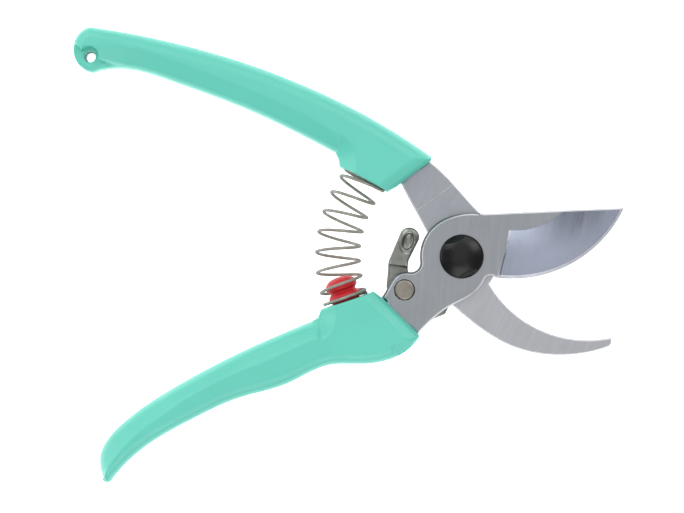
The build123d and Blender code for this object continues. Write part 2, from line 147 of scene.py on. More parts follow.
def stretch(loop, start, stop):
    """The part of a closed loop from the point nearest start to the point nearest stop."""
    first = int(np.argmin(np.hypot(*(loop - start).T)))
    last = int(np.argmin(np.hypot(*(loop - stop).T)))
    if last <= first:
        last += len(loop)
    return loop[np.arange(first, last + 1) % len(loop)]


def bridged(loop, start, stop):
    """The closed loop with a straight line from its point nearest start to its point nearest stop."""
    first = int(np.argmin(np.hypot(*(loop - start).T)))
    last = int(np.argmin(np.hypot(*(loop - stop).T)))
    place = (np.arange(len(loop)) - first) % len(loop)
    return loop[(place == 0) | (place >= (last - first) % len(loop))]


def smooth_line(points, step=0.5):
    """A smooth curve through these points, as a run of close points."""
    points = np.array(points, float)
    ends = np.concatenate([[2 * points[0] - points[1]], points, [2 * points[-1] - points[-2]]])
    run = []
    for a, b, c, d in zip(ends, ends[1:], ends[2:], ends[3:]):
        count = max(2, int(np.hypot(*(c - b)) / step))
        for t in np.arange(count) / count:
            once, twice, thrice = c - a, 2 * a - 5 * b + 4 * c - d, 3 * b - a - 3 * c + d
            run.append(0.5 * (2 * b + once * t + twice * t**2 + thrice * t**3))
    run.append(points[-1])
    return np.array(run)


def gap(points, path, closed=False):
    """Distance from each point to a path, and on which side of it the point lies (1 is left)."""
    starts = path if closed else path[:-1]
    stops = np.roll(path, -1, 0) if closed else path[1:]
    along = stops - starts
    length2 = np.maximum((along**2).sum(1), 1e-12)
    distance = np.empty(len(points))
    side = np.empty(len(points))
    for first in range(0, len(points), 2000):
        block = points[first : first + 2000]
        offset = block[:, None, :] - starts[None]
        share = np.clip((offset * along[None]).sum(2) / length2, 0, 1)
        away = offset - share[..., None] * along[None]
        squared = (away**2).sum(2)
        nearest = np.argmin(squared, 1)
        row = np.arange(len(block))
        distance[first : first + 2000] = np.sqrt(squared[row, nearest])
        near_along, near_offset = along[nearest], offset[row, nearest]
        cross = near_along[:, 0] * near_offset[:, 1] - near_along[:, 1] * near_offset[:, 0]
        side[first : first + 2000] = np.where(cross >= 0, 1, -1)
    return distance, side


def inside(points, loops):
    """True for the points inside the first loop and outside the others."""
    count = np.zeros(len(points), int)
    for loop in loops:
        x0, y0 = loop[:, 0], loop[:, 1]
        x1, y1 = np.roll(x0, -1), np.roll(y0, -1)
        rise = np.where(y1 == y0, 1e-12, y1 - y0)
        for first in range(0, len(points), 4000):
            x, y = points[first : first + 4000].T
            crosses = (y0[None] > y[:, None]) != (y1[None] > y[:, None])
            at = x0[None] + (y[:, None] - y0[None]) * (x1 - x0)[None] / rise[None]
            count[first : first + 4000] += (crosses & (x[:, None] < at)).sum(1)
    return count % 2 == 1


def soft_min(first, second, blend):
    """The lower of two heights, with a fillet where they cross."""
    return np.minimum(first, second) - np.maximum(blend - np.abs(first - second), 0) ** 2 / (4 * blend)


def rounding(distance, radius):
    """How far a rounded rim has dropped at this distance from the edge."""
    short = np.clip(radius - distance, 0, radius)
    return radius - np.sqrt(np.maximum(radius**2 - short**2, 0))


def past_line(points, start, stop):
    """Distance to the left of the straight line from start to stop."""
    along = np.subtract(stop, start) / np.hypot(*np.subtract(stop, start))
    offset = points - start
    return along[0] * offset[:, 1] - along[1] * offset[:, 0]


# ---- meshing ------------------------------------------------------------------------------------


def offset_points(loop, distance):
    """Points this far inside a loop, without those that a bend brings nearer to it."""
    ahead = np.roll(loop, -1, 0) - np.roll(loop, 1, 0)
    ahead /= np.maximum(np.hypot(*ahead.T), 1e-9)[:, None]
    moved = loop + distance * np.stack([-ahead[:, 1], ahead[:, 0]], 1)
    return moved[gap(moved, loop, True)[0] > distance * 0.97]


def grid(low, high, step, seed):
    """A triangular grid of points, moved about a little so that no rows show."""
    rows = int((high[1] - low[1]) / (step * 0.866)) + 2
    columns = int((high[0] - low[0]) / step) + 2
    x, y = np.meshgrid(np.arange(columns) * step, np.arange(rows) * step * 0.866)
    x += (np.arange(rows) % 2)[:, None] * step / 2
    points = np.stack([low[0] + x.ravel(), low[1] + y.ravel()], 1)
    return points + np.random.default_rng(seed).uniform(-0.08, 0.08, points.shape) * step


def mesh_from(name, verts, faces, marks=None, smooth_below=SMOOTH_BELOW):
    """A shaded object from vertices in mm; marks gives each face its material slot."""
    mesh = bpy.data.meshes.new(name)
    mesh.from_pydata([tuple(v) for v in np.array(verts) * MM], [], faces)
    if marks is not None:
        mesh.polygons.foreach_set("material_index", np.array(marks, np.int32))
    mesh.shade_smooth()
    mesh.set_sharp_from_angle(angle=math.radians(smooth_below))
    mesh.update()
    piece = bpy.data.objects.new(name, mesh)
    bpy.context.scene.collection.objects.link(piece)
    return piece


def slab(name, loops, top, bottom, step, bands=(), extra=(), mark=None, walls=1, seed=1):
    """A closed solid between two heights, top(points) and bottom(points), within the loops.

    bands are distances from the rim at which rows of points follow it, extra holds more points
    that the shape needs, and mark(points) gives the front faces their material slots."""
    rims = [resample(loop, step * 0.8) for loop in loops]
    points = list(np.concatenate(rims))
    edges = []
    first = 0
    for rim in rims:
        edges += [(first + i, first + (i + 1) % len(rim)) for i in range(len(rim))]
        first += len(rim)
    rows = [offset_points(rim, distance) for rim in rims for distance in bands]
    rows += [np.array(run) for run in extra]
    if rows:
        rows = np.concatenate(rows)
        rows = rows[inside(rows, rims)]
        clear = np.min([gap(rows, rim, True)[0] for rim in rims], 0)
        rows = rows[clear > 0.6 * min([*bands, step])]
    inner = grid(rims[0].min(0), rims[0].max(0), step, seed)
    inner = inner[inside(inner, rims)]
    clear = np.min([gap(inner, rim, True)[0] for rim in rims], 0)
    inner = inner[clear > (max(bands) if bands else 0) + step * 0.45]
    for run in extra:
        inner = inner[gap(inner, np.array(run))[0] > step * 0.4] if len(inner) else inner
    points = np.concatenate([points, rows, inner] if len(rows) else [points, inner])
    made = delaunay_2d_cdt([Vector(p) for p in points], edges, [], 1, 1e-6)
    flat = np.array([tuple(v) for v in made[0]])
    triangles = np.array(made[2])
    middles = flat[triangles].mean(1)
    triangles = triangles[inside(middles, rims)]
    used, compact = np.unique(triangles, return_inverse=True)
    flat, triangles = flat[used], compact.reshape(triangles.shape)
    count = len(flat)
    front = np.column_stack([flat, top(flat)])
    rear = np.column_stack([flat, bottom(flat)])
    faces = triangles.tolist() + (triangles[:, ::-1] + count).tolist()
    marks = list(mark(flat[triangles].mean(1))) if mark else [0] * len(triangles)
    marks += [0] * len(triangles)
    sides = np.concatenate([triangles[:, [0, 1]], triangles[:, [1, 2]], triangles[:, [2, 0]]])
    held = set(map(tuple, sides.tolist()))
    rim_edges = [(a, b) for a, b in sides.tolist() if (b, a) not in held]
    verts = [front, rear]
    at = {}
    for level in range(1, walls):
        for index in sorted({i for edge in rim_edges for i in edge}):
            at[index, level] = 2 * count + len(at)
            share = level / walls
            verts.append((front[index] * (1 - share) + rear[index] * share)[None])
    for a, b in rim_edges:
        chain_a = [a] + [at[a, level] for level in range(1, walls)] + [a + count]
        chain_b = [b] + [at[b, level] for level in range(1, walls)] + [b + count]
        for (a0, a1), (b0, b1) in zip(zip(chain_a, chain_a[1:]), zip(chain_b, chain_b[1:])):
            faces.append([a0, a1, b1, b0])
            marks.append(0)
    return mesh_from(name, np.concatenate(verts), faces, marks)


def level(height):
    """A height function that is the same everywhere."""
    return lambda points: np.full(len(points), float(height))


def bored(piece, origin, axis, radius, depth):
    """Cuts a round socket of this depth into a piece; the axis lies in the mid-plane and points out."""
    tool = lathe("bore", [(0.0, 3.0), (radius, 3.0), (radius, -depth), (0.0, -depth)], origin, axis, 96)
    cut = piece.modifiers.new("bore", "BOOLEAN")
    cut.operation, cut.solver, cut.object = "DIFFERENCE", "MANIFOLD", tool
    whole = piece.data
    bored_piece = piece.evaluated_get(bpy.context.evaluated_depsgraph_get())
    piece.data = bpy.data.meshes.new_from_object(bored_piece)
    piece.data.materials.clear()
    piece.modifiers.clear()
    piece.data.set_sharp_from_angle(angle=math.radians(SMOOTH_BELOW))
    bpy.data.meshes.remove(whole)
    bpy.data.objects.remove(tool)


def lathe(name, profile, origin, axis, sides=72):
    """A turned solid: (radius, height) points along an axis that lies in the mid-plane."""
    axis = np.array((*axis, 0.0)) / math.hypot(*axis)
    side, up = np.array((-axis[1], axis[0], 0.0)), np.array((0.0, 0.0, 1.0))
    verts = [origin + axis * profile[0][1]]
    for radius, height in profile[1:-1]:
        for k in range(sides):
            angle = 2 * math.pi * k / sides
            outward = math.cos(angle) * side + math.sin(angle) * up
            verts.append(origin + axis * height + radius * outward)
    verts.append(origin + axis * profile[-1][1])
    faces = [[0, 1 + (k + 1) % sides, 1 + k][::-1] for k in range(sides)]
    rings = len(profile) - 2
    for ring in range(rings - 1):
        for k in range(sides):
            a, b = 1 + ring * sides + k, 1 + ring * sides + (k + 1) % sides
            faces.append([a, a + sides, b + sides, b])
    last = 1 + (rings - 1) * sides
    faces += [[len(verts) - 1, last + k, last + (k + 1) % sides][::-1] for k in range(sides)]
    return mesh_from(name, verts, faces, smooth_below=50)


def seat_point(seat, radius, outward):
    """Where the spring's arc crosses a seat, and the direction out of the handle there."""
    (x0, y0), (x1, y1) = seat
    ux, uy = np.subtract((x1, y1), (x0, y0)) / math.hypot(x1 - x0, y1 - y0)
    along = -(x0 * ux + y0 * uy)
    offset = math.sqrt(radius**2 - (x0 * x0 + y0 * y0 - along**2))
    place = np.array((x0 + ux * (along - offset), y0 + uy * (along - offset), MID))
    return place, (-uy * outward, ux * outward)


def finished(piece, body, slot, nodes, *materials):
    """Dresses a piece, and hangs it on its body in place of its CAD nodes."""
    for material in materials:
        piece.data.materials.append(material)
    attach(piece, body)
    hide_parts(*nodes)
    return piece


def plated(node, material):
    """Gives this material to a CAD node that is shown as it is."""
    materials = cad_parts[node].data.materials
    materials.clear()
    materials.append(material)


# ---- materials ----------------------------------------------------------------------------------


def srgb(red, green, blue):
    """A linear colour from 0-255 screen values."""
    shares = (channel / 255 for channel in (red, green, blue))
    return (*(c / 12.92 if c <= 0.04045 else ((c + 0.055) / 1.055) ** 2.4 for c in shares), 1.0)


class Finish:
    """A principled material with the few kinds of detail that the pieces share."""

    def __init__(self, name, colour, metallic, roughness, **sockets):
        self.material = bpy.data.materials.new(name)
        self.material.use_nodes = True
        self.tree = self.material.node_tree
        self.shader = self.tree.nodes["Principled BSDF"]
        self.colour = colour
        self.shader.inputs["Base Color"].default_value = colour
        self.shader.inputs["Metallic"].default_value = metallic
        self.shader.inputs["Roughness"].default_value = roughness
        for socket, value in sockets.items():
            self.shader.inputs[socket.replace("_", " ")].default_value = value
        self.height = None

    def node(self, kind, **settings):
        made = self.tree.nodes.new(kind)
        for key, value in settings.items():
            setattr(made, key, value)
        return made

    def link(self, output, target):
        self.tree.links.new(output, target)

    def place(self, scale=(1, 1, 1), turn=0.0, about=(0, 0)):
        """Object coordinates in mm about a point, turned by this many degrees and then scaled."""
        where = self.node("ShaderNodeTexCoord")
        shift = self.node("ShaderNodeVectorMath", operation="MULTIPLY_ADD")
        self.link(where.outputs["Object"], shift.inputs[0])
        shift.inputs[1].default_value = (1 / MM,) * 3
        shift.inputs[2].default_value = (-about[0], -about[1], 0)
        mapping = self.node("ShaderNodeMapping", vector_type="TEXTURE")
        mapping.inputs["Rotation"].default_value = (0, 0, math.radians(turn))
        mapping.inputs["Scale"].default_value = scale
        self.link(shift.outputs[0], mapping.inputs["Vector"])
        return mapping.outputs[0]

    def maths(self, operation, *values, clamp=False):
        made = self.node("ShaderNodeMath", operation=operation, use_clamp=clamp)
        for socket, value in zip(made.inputs, values):
            if isinstance(value, (int, float)):
                socket.default_value = value
            else:
                self.link(value, socket)
        return made.outputs[0]

    def noise(self, where, scale, detail=3.0, rough=0.55):
        made = self.node("ShaderNodeTexNoise")
        made.inputs["Scale"].default_value = scale
        made.inputs["Detail"].default_value = detail
        made.inputs["Roughness"].default_value = rough
        self.link(where, made.inputs["Vector"])
        return made.outputs["Fac"]

    def spread(self, fac, low, high, new_low, new_high):
        made = self.node("ShaderNodeMapRange")
        for socket, value in zip(list(made.inputs)[1:5], (low, high, new_low, new_high)):
            socket.default_value = value
        self.link(fac, made.inputs["Value"])
        return made.outputs[0]

    def tint(self, fac, other, amount=1.0):
        """Mixes another colour in where the factor is high."""
        mix = self.node("ShaderNodeMix", data_type="RGBA")
        self.link(self.maths("MULTIPLY", fac, amount, clamp=True), mix.inputs["Factor"])
        current = self.shader.inputs["Base Color"]
        if current.is_linked:
            self.link(current.links[0].from_socket, mix.inputs["A"])
        else:
            mix.inputs["A"].default_value = self.colour
        mix.inputs["B"].default_value = other
        self.link(mix.outputs["Result"], current)

    def rough(self, fac, low, high):
        """Roughness between two values."""
        self.link(self.spread(fac, 0.3, 0.7, low, high), self.shader.inputs["Roughness"])

    def bump(self, fac, depth, strength=1.0):
        """Raises the surface by the factor times this depth in mm."""
        made = self.node("ShaderNodeBump")
        made.inputs["Distance"].default_value = depth * MM
        made.inputs["Strength"].default_value = strength
        self.link(fac, made.inputs["Height"])
        if self.height is not None:
            self.link(self.height, made.inputs["Normal"])
        self.height = made.outputs["Normal"]
        self.link(self.height, self.shader.inputs["Normal"])


def moulded_plastic(name, colour):
    """Satin polypropylene: a fine spark texture, faint flow marks and small scuffs."""
    soft = {"Subsurface_Weight": 0.06, "Subsurface_Scale": 0.002}
    made = Finish(name, srgb(*colour), 0.0, 0.38, Specular_IOR_Level=0.8, **soft)
    made.shader.inputs["Subsurface Radius"].default_value = (0.5, 1.0, 0.9)
    flow = made.noise(made.place(), 0.045, 2.0)
    made.tint(made.spread(flow, 0.45, 0.75, 0, 1), srgb(*(min(255, c * 1.04) for c in colour)), 0.6)
    grain = made.noise(made.place(), 3.2, 4.0, 0.7)
    made.bump(grain, 0.018)
    made.rough(made.noise(made.place(), 0.5, 3.0), 0.36, 0.48)
    scuff = made.noise(made.place(scale=(6.0, 0.5, 1.0), turn=28), 1.0, 4.0, 0.75)
    made.tint(made.spread(scuff, 0.66, 0.8, 0, 1), srgb(*(min(255, c * 1.12) for c in colour)), 0.35)
    made.bump(made.spread(scuff, 0.66, 0.8, 1, 0), 0.006)
    return made.material


def brushed_steel(name, colour, turn, roughness=0.34, lines=0.010, highlight_at=None):
    """Satin plate steel with grinding lines that run at this angle, and a painted highlight round one
    point if one is given.
    """
    made = Finish(name, srgb(*colour), 1.0, roughness)
    fine = made.noise(made.place(scale=(9.0, 0.16, 0.4), turn=turn), 1.0, 3.0, 0.6)
    broad = made.noise(made.place(scale=(22.0, 0.9, 2.0), turn=turn), 1.0, 2.0)
    cloud = made.noise(made.place(), 0.12, 3.0)
    made.tint(made.spread(fine, 0.35, 0.7, 0, 1), srgb(*(c * 0.9 for c in colour)), 0.5)
    made.tint(made.spread(broad, 0.45, 0.7, 0, 1), srgb(*(min(255, c * 1.07) for c in colour)), 0.4)
    made.tint(made.spread(cloud, 0.5, 0.8, 0, 1), srgb(*(c * 0.93 for c in colour)), 0.5)
    # painted highlight: paler colour round this point
    if highlight_at:
        reach = made.node("ShaderNodeVectorMath", operation="LENGTH")
        made.link(made.place(scale=(15.0, 7.0, 1000.0), turn=25, about=highlight_at), reach.inputs[0])
        near = made.spread(reach.outputs["Value"], 0.1, 1.2, 1, 0)
        made.tint(near, srgb(*(min(255, c * 1.12) for c in colour)), 0.8)
    made.rough(broad, roughness - 0.05, roughness + 0.07)
    made.bump(fine, lines)
    scratch = made.noise(made.place(scale=(14.0, 0.11, 0.5), turn=turn + 37), 1.0, 2.0, 0.4)
    made.bump(made.spread(scratch, 0.72, 0.78, 0, -1), 0.004)
    return made.material


def plain_metal(name, colour, roughness, metallic=1.0, speck=0.012, coarse=1.6, shine=0.5, painted_shade_rim=0.0):
    """Tumbled or plated metal: soft clouds, a little grain, small bright rubs, and painted shade towards
    the outline if asked.
    """
    made = Finish(name, srgb(*colour), metallic, roughness, Specular_IOR_Level=shine)
    cloud = made.noise(made.place(), 0.4, 3.0)
    grain = made.noise(made.place(), coarse, 4.0, 0.65)
    made.tint(made.spread(cloud, 0.4, 0.7, 0, 1), srgb(*(c * 0.86 for c in colour)), 0.6)
    made.tint(made.spread(grain, 0.6, 0.78, 0, 1), srgb(*(min(255, c * 1.15) for c in colour)), 0.5)
    if painted_shade_rim:
        # painted shade: darker where the surface turns away from view
        facing = made.node("ShaderNodeLayerWeight").outputs["Facing"]
        made.tint(made.spread(facing, 0.45, 0.85, 0, 1), srgb(*(c * 0.45 for c in colour)), painted_shade_rim)
    made.rough(cloud, roughness - 0.06, roughness + 0.08)
    made.bump(grain, speck)
    return made.material


def rubber(name, colour):
    """Soft red rubber: a faint bloom, tiny pits and a low sheen."""
    made = Finish(name, srgb(*colour), 0.0, 0.46, Specular_IOR_Level=0.45)
    bloom = made.noise(made.place(), 0.55, 3.0)
    made.tint(made.spread(bloom, 0.5, 0.8, 0, 1), srgb(*(min(255, c * 1.18 + 6) for c in colour)), 0.5)
    made.rough(bloom, 0.38, 0.55)
    made.bump(made.noise(made.place(), 2.6, 4.0, 0.7), 0.02)
    return made.material


TEAL = (92, 203, 184)
STEEL = (154, 158, 163)

handle_teal = moulded_plastic("handle_teal", TEAL)
front_steel = brushed_steel("front_plate", STEEL, 86)
hook_steel = brushed_steel("hook_plate", (180, 181, 186), 62)
neck_steel = brushed_steel("neck_plate", (163, 166, 173), 62)
# the hollow grind gets a painted highlight, a paler patch round (28, 1) mm
hollow_steel = brushed_steel("hollow_grind", (152, 158, 174), 80, 0.34, 0.006, (28.0, 1.0))
# painted shade: darker steel on the wider chamfer along the hub's latch side
shaded_edge_steel = plain_metal("rolled_edge_painted_shade", (128, 133, 138), 0.42, speck=0.004)
# the honed bevel's light colour is partly its own finish and partly a painted highlight
honed_and_highlight_steel = plain_metal("honed_edge_painted_highlight", (206, 209, 217), 0.38, metallic=0.4, speck=0.004)
# painted highlight: light steel on the chamfered rims, the neck's step line and the grind's run-out
highlight_rim_steel = plain_metal("painted_highlight_rim", (214, 215, 220), 0.42, metallic=0.45, speck=0.004)
latch_steel = plain_metal("latch_steel", (136, 138, 133), 0.34)
rivet_steel = plain_metal("rivet_face", (150, 145, 135), 0.4)
# painted shadow: a dark ring in the gap round the latch rivet
gap_shadow_black = plain_metal("rivet_gap_painted_shadow", (42, 42, 44), 0.6, metallic=0.5)
# the spring wire is darkened towards its outline: painted shade
wire_steel = plain_metal(
    "spring_wire", (158, 153, 145), 0.4, metallic=0.35, coarse=3.0, shine=0.25, painted_shade_rim=1.0,
)
nut_zinc = plain_metal("zinc_plate", (176, 178, 182), 0.32)
bolt_black = plain_metal("black_oxide", (11, 12, 14), 0.26, metallic=0.35, speck=0.016, coarse=4.0)
cushion_red = rubber("cushion_red", (206, 22, 34))

# ---- handles ------------------------------------------------------------------------------------
RIM_BANDS = (0.06, 0.2, 0.45, 0.8, 1.25, 1.8)
HANDLE_STEP = 0.46
FACET_DROP = 3.5
HANG_HOLE = (-114.6, 61.6)
LUG_R = (2.75, 3.15)  # the recess about the hanging hole, at its floor and at the face
LUG_FLOOR = 3.5  # height of its floor above the mid-plane
LUG_END = ((-117.6, 64.0), (-119.4, 65.7))  # the lines at which the recess opens
LUG_SIDE = ((-103.0, 57.6), (-111.9, 60.5))
LUG_SIDE_SLOPE = ((-112.5, -110.0, -104.0, -98.0), (9.0, 3.0, 1.0, 0.6))  # by x
LUG_LIMIT_X = -104.0  # the recess ends here, towards the grip

UPPER_CREASE = [
    (-122.0, 61.0), (-117.6, 62.6), (-114.6, 64.3), (-110.7, 64.2), (-100.5, 63.7), (-93.8, 61.9),
    (-86.9, 59.4), (-80.9, 57.2), (-69.4, 52.9), (-60.0, 48.9), (-46.9, 42.8), (-38.5, 37.6),
    (-36.0, 36.0), (-34.5, 33.0), (-34.5, 28.0), (-35.0, 22.0),
]
LOWER_CREASE = [
    (-110.6, -72.0), (-109.5, -66.4), (-107.0, -62.5), (-99.2, -54.0), (-89.3, -46.7), (-79.4, -40.3),
    (-69.6, -35.6), (-59.7, -31.6), (-46.0, -25.4), (-42.0, -23.8), (-40.2, -20.0), (-40.4, -15.0),
    (-41.0, -8.0),
]
ARC_R = 38.15  # the spring's axis is an arc about the pivot
UPPER_SEAT = ((-37.7, 27.9), (-22.8, 20.0))
LOWER_SEAT = ((-43.4, -16.4), (-29.0, -11.6))
UPPER_FRONT = ((-20.0, 21.6), (-9.3, 29.7))
LOWER_FRONT = ((-13.4, -23.8), (-24.2, -13.0))
UPPER_SCALLOP = ((-42.1, 28.9), 4.4, 9.8)  # centre, radius at its foot, radius at the face
LOWER_SCALLOP = ((-47.3, -17.9), 4.0, 8.8)
UPPER_RIDGE_X, LOWER_RIDGE_X = -38.0, -43.5  # the scallops end here, at the grips
RIDGE_RISE = 40.0
SCALLOP_BLEND = 0.15
UPPER_ROUND = ((-118, -104, -90), (3.4, 4.2, 5.0))  # rounding of the outer side, by x
TAIL_FROM, TAIL_TOWARD, TAIL_R = (-88.0, -47.5), (-0.76, -0.65), 162.4  # the tail thins on an arc
NOTCH_LINE, NOTCH_X = ((-14.3, -24.4), (-21.8, -27.3)), -21.5  # the small flat at the front end
SOCKET_R, SOCKET_DEPTH = 7.45, 1.05  # the spring's seat
STEM_R, STEM_DEPTH = 2.52, 4.05  # the cushion's seat


def facet(points, grip, crease, sign):
    """Height of the facet that runs down from the crease to the grip's inner edge."""
    from_grip = gap(points, grip)[0]
    distance, side = gap(points, crease)
    from_crease = distance * side * sign
    width = np.maximum(from_grip - from_crease, 0.8)
    return HALF_T + FACET_DROP * from_crease / width


def scallop(points, centre, foot, face):
    """Height of the conical hollow beside a spring seat."""
    reach = np.hypot(*(points - centre).T)
    return HALF_T - FACET_DROP + FACET_DROP * (reach - foot) / (face - foot)


def front_bevel(points, edge):
    """Height of the two bevels behind a handle's front edge: a narrow steep one, then a wide one."""
    behind = past_line(points, *edge)
    return np.minimum(6.1 + 0.52 * behind, 4.7 + 2.2 * behind)


def hanging_recess(points):
    """Height of the recess about the hanging hole, which runs out to the lug's end and inner side."""
    reach = np.hypot(*(points - HANG_HOLE).T)
    ring = LUG_FLOOR + (reach - LUG_R[0]) * (HALF_T - LUG_FLOOR) / (LUG_R[1] - LUG_R[0])
    end_slope, side_slope = LUG_SIDE_SLOPE[1][0], np.interp(points[:, 0], *LUG_SIDE_SLOPE)
    end_climb = -past_line(points, *LUG_END) * end_slope
    side_climb = -past_line(points, *LUG_SIDE) * side_slope
    climb = np.where(points[:, 0] < HANG_HOLE[0], end_climb, side_climb)
    open_side = LUG_FLOOR + climb + np.clip(points[:, 0] - LUG_LIMIT_X, 0, 60)
    return np.maximum(np.minimum(ring, open_side), LUG_FLOOR)


def upper_height(points):
    """Half thickness of the upper handle."""
    round_r = np.interp(points[:, 0], *UPPER_ROUND)
    height = HALF_T - rounding(gap(points, upper_outer)[0], round_r)
    height = soft_min(height, facet(points, upper_grip, upper_crease, 1), 0.3)
    ridge = np.clip(UPPER_RIDGE_X - points[:, 0], 0, RIDGE_RISE)
    height = soft_min(height, scallop(points, *UPPER_SCALLOP) + ridge, SCALLOP_BLEND)
    height = soft_min(height, front_bevel(points, UPPER_FRONT), 0.3)
    height = soft_min(height, hanging_recess(points), 0.25)
    rim = np.minimum(gap(points, upper_seat)[0], gap(points, upper_front)[0])
    height = height - rounding(gap(points, upper_grip)[0], 1.5) - rounding(rim, 0.4)
    return height - rounding(np.abs(np.hypot(*(points - HANG_HOLE).T) - 1.75), 0.3)


def lower_height(points):
    """Half thickness of the lower handle."""
    height = HALF_T - rounding(gap(points, lower_outer)[0], 3.4)
    height = soft_min(height, facet(points, lower_grip, lower_crease, -1), 0.3)
    ridge = np.clip(LOWER_RIDGE_X - points[:, 0], 0, RIDGE_RISE)
    height = soft_min(height, scallop(points, *LOWER_SCALLOP) + ridge, SCALLOP_BLEND)
    height = soft_min(height, front_bevel(points, LOWER_FRONT), 0.3)
    along = (points - TAIL_FROM) @ np.array(TAIL_TOWARD)
    height = height - (TAIL_R - np.sqrt(TAIL_R**2 - np.clip(along, 0, 40) ** 2))
    down, back = 0.9 * past_line(points, *NOTCH_LINE), 1.2 * (points[:, 0] - NOTCH_X)
    height = soft_min(height, np.maximum(HALF_T - down, HALF_T - back), 0.3)
    rim = np.minimum(gap(points, lower_seat)[0], gap(points, lower_front)[0])
    return height - rounding(gap(points, lower_grip)[0], 2.0) - rounding(rim, 0.4)


upper_loops = section("upper_handle", 9.5)
upper_loops[0] = bridged(upper_loops[0], *UPPER_SEAT)
upper_rim = resample(upper_loops[0], 0.4)
upper_outer = stretch(upper_rim, (-9.5, 30.9), (-118.4, 59.6))
upper_grip = stretch(upper_rim, (-117.8, 58.6), (-38.9, 32.2))
upper_seat = stretch(upper_rim, (-38.5, 31.2), (-20.6, 21.1))
upper_front = stretch(upper_rim, *UPPER_FRONT)
upper_crease = smooth_line(UPPER_CREASE)
upper_crease = upper_crease[inside(upper_crease, upper_loops)]

lower_loops = section("lower_handle", 7.0)
lower_loops[0] = bridged(lower_loops[0], LOWER_SEAT[1], LOWER_SEAT[0])
lower_rim = resample(lower_loops[0], 0.4)
lower_outer = stretch(lower_rim, (-110.2, -69.5), (-13.1, -24.8))
lower_front = stretch(lower_rim, *LOWER_FRONT)
lower_seat = stretch(lower_rim, (-27.2, -10.8), (-44.3, -18.9))
lower_grip = stretch(lower_rim, (-46.2, -20.1), (-110.9, -68.0))
lower_crease = smooth_line(LOWER_CREASE)


def handle(name, loops, height, extra):
    """A moulded handle, the same on both sides of its mid-plane."""
    return slab(
        name, loops, lambda points: MID + height(points), lambda points: MID - height(points),
        HANDLE_STEP, RIM_BANDS, extra, walls=6,
    )


lug_radii = (LUG_R[0], LUG_R[0] + 0.1, LUG_R[1] - 0.06, LUG_R[1] + 0.08)
lug_rings = [circle(HANG_HOLE, radius, 90) for radius in lug_radii]
upper_handle = handle("upper_handle_moulding", upper_loops, upper_height, [upper_crease, *lug_rings])
lower_handle = handle("lower_handle_moulding", lower_loops, lower_height, [lower_crease])
spring_at, spring_axis = seat_point(UPPER_SEAT, ARC_R, -1)
cushion_at, cushion_axis = seat_point(LOWER_SEAT, ARC_R, 1)
bored(upper_handle, spring_at, spring_axis, SOCKET_R, SOCKET_DEPTH)
bored(lower_handle, cushion_at, cushion_axis, STEM_R, STEM_DEPTH)
finished(upper_handle, "hook_arm", "handle_teal", ["upper_handle"], handle_teal)
finished(lower_handle, "cutting_arm", "handle_teal", ["lower_handle"], handle_teal)

# ---- cutting blade --------------------------------------------------------------------------------
GRIND_CENTRE = (16.0, 31.4)
GRIND_R = 38.3
GRIND_TOP_R = 23.3
BEVEL_W = 1.0
SHOULDER = ((14.6, 8.4), (10.7, -7.2))
CHAMFER = 0.5
ROLLED = 0.85
BRIGHT_W = 0.35  # the painted highlight line inside the wider, shaded chamfer
RUN_OUT_W = 0.75  # the slope where the grind runs out at the shoulder, with a painted highlight
GRIND_DEPTH, GRIND_HOLLOW = 2.25, 0.55
EDGE_T, BEVEL_RISE = 0.12, 0.63  # thickness left at the edge, and the honed bevel's rise
LEAST_T = 0.1
LATCH_AT = (-17.6, -10.3)
RIVET_POCKET_R, RIVET_POCKET_DEPTH = 3.22, 1.2
RIVET_EDGE_R = 2.9


def chamfered(height, distance, width):
    """A height with a rim chamfer of 45 degrees."""
    return height - np.clip(width - distance, 0, width)


def grind_height(points):
    """Height of the hollow grind: a shallow hollow, then the narrow honed bevel at the edge."""
    reach = np.hypot(*(points - GRIND_CENTRE).T)
    share = np.clip((reach - GRIND_TOP_R) / (GRIND_R - BEVEL_W - GRIND_TOP_R), 0, 1)
    hollow = BLADE_FRONT - GRIND_DEPTH * share - GRIND_HOLLOW * np.sin(share * math.pi) ** 0.9
    honed = BLADE_REAR + EDGE_T + np.clip(GRIND_R - reach, 0, 9) * BEVEL_RISE / BEVEL_W
    run_out = BLADE_FRONT - 2.2 * past_line(points, *SHOULDER)
    return np.minimum(np.maximum(np.minimum(hollow, honed), run_out), BLADE_FRONT)


def shaded(points):
    """True on the hub's side towards the latch, where the rim has a wider chamfer and painted shade."""
    return past_line(points, (-24.0, -18.0), (6.0, 13.5)) > 0


def blade_height(points):
    """Front face of the cutting blade, kept above its rear face."""
    rim = gap(points, blade_dull)[0]
    height = chamfered(grind_height(points), rim, np.where(shaded(points), ROLLED, CHAMFER))
    reach = np.hypot(*(points - LATCH_AT).T)
    height = np.maximum(height, BLADE_REAR + LEAST_T)
    return np.where(reach < RIVET_POCKET_R, BLADE_FRONT - RIVET_POCKET_DEPTH, height)


